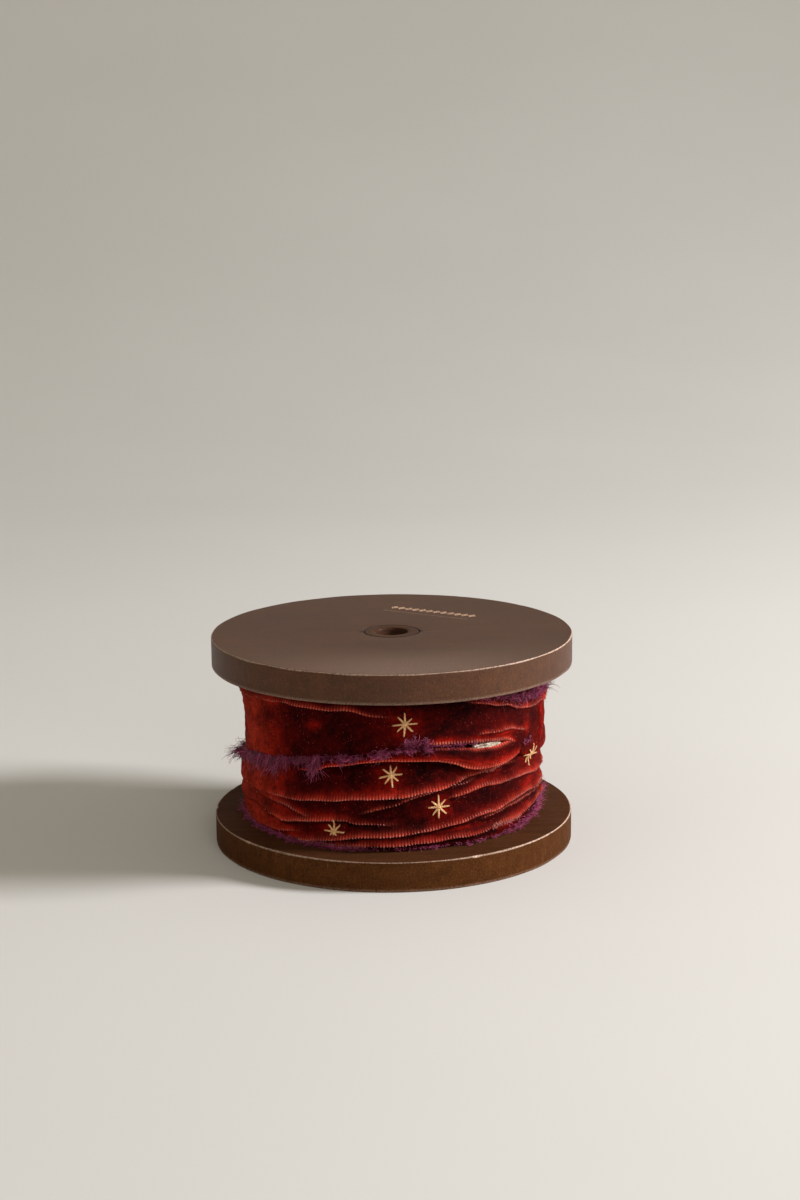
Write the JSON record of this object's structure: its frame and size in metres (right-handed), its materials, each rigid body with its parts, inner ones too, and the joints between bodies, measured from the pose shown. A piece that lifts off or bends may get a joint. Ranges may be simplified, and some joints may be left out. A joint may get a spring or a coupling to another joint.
{
  "type": "ribbon spool",
  "caption": "Wooden flanged spool on a bored hub, wound with a gathered velvet gift ribbon with frayed edges, embroidered stars and a tucked free end.",
  "frame": {"origin": "centre of the lower flange's bottom face, on the spool's axis", "axes": "+Z along the spool's axis, up from the face that it stands on; -Y towards the side where the ribbon's tucked end shows, +X to the right of that side"},
  "size_m": [0.1, 0.1, 0.0586],
  "materials": {
    "stained_wood": "dark brown stain, sealed, satin, worn at the edges",
    "hub_wood": "dark brown stain on end grain, matt",
    "velvet": "crushed red velvet, orange-red sheen, pile in fine rows",
    "fray_thread": "loose purple filament threads, slightly glossy",
    "gold_thread": "metallic gold embroidery thread",
    "backing_thread": "matt off-white embroidery backing",
    "tape_film": "translucent adhesive tape",
    "gold_foil": "rubbed copper-gold foil, hot-pressed into the wood"
  },
  "bodies": {
    "spool": {"lower_flange": "stained_wood", "upper_flange": "stained_wood", "hub": "hub_wood", "end_tape": "tape_film", "ribbon_inner_turns": "velvet", "ribbon_upper_turn": "velvet", "ribbon_lower_turn": "velvet", "frayed_edge_bottom": "fray_thread", "frayed_edge_middle": "fray_thread", "frayed_edge_top": "fray_thread", "star_backing": "backing_thread", "star_01": "gold_thread", "star_02": "gold_thread", "star_03": "gold_thread", "star_04": "gold_thread", "star_05": "gold_thread", "star_06": "gold_thread", "star_07": "gold_thread", "star_08": "gold_thread", "star_09": "gold_thread", "star_10": "gold_thread", "star_11": "gold_thread", "star_12": "gold_thread", "star_13": "gold_thread", "star_14": "gold_thread"},
    "tail": {"ribbon_tail": "velvet"}
  },
  "joints": [
    {"name": "tail_peel", "type": "hinge", "parent": "spool", "child": "tail", "pos_m": [-0.02289, -0.03664, 0.0304], "axis": [0, 0, -1], "range_deg": [0, 75]}
  ]
}
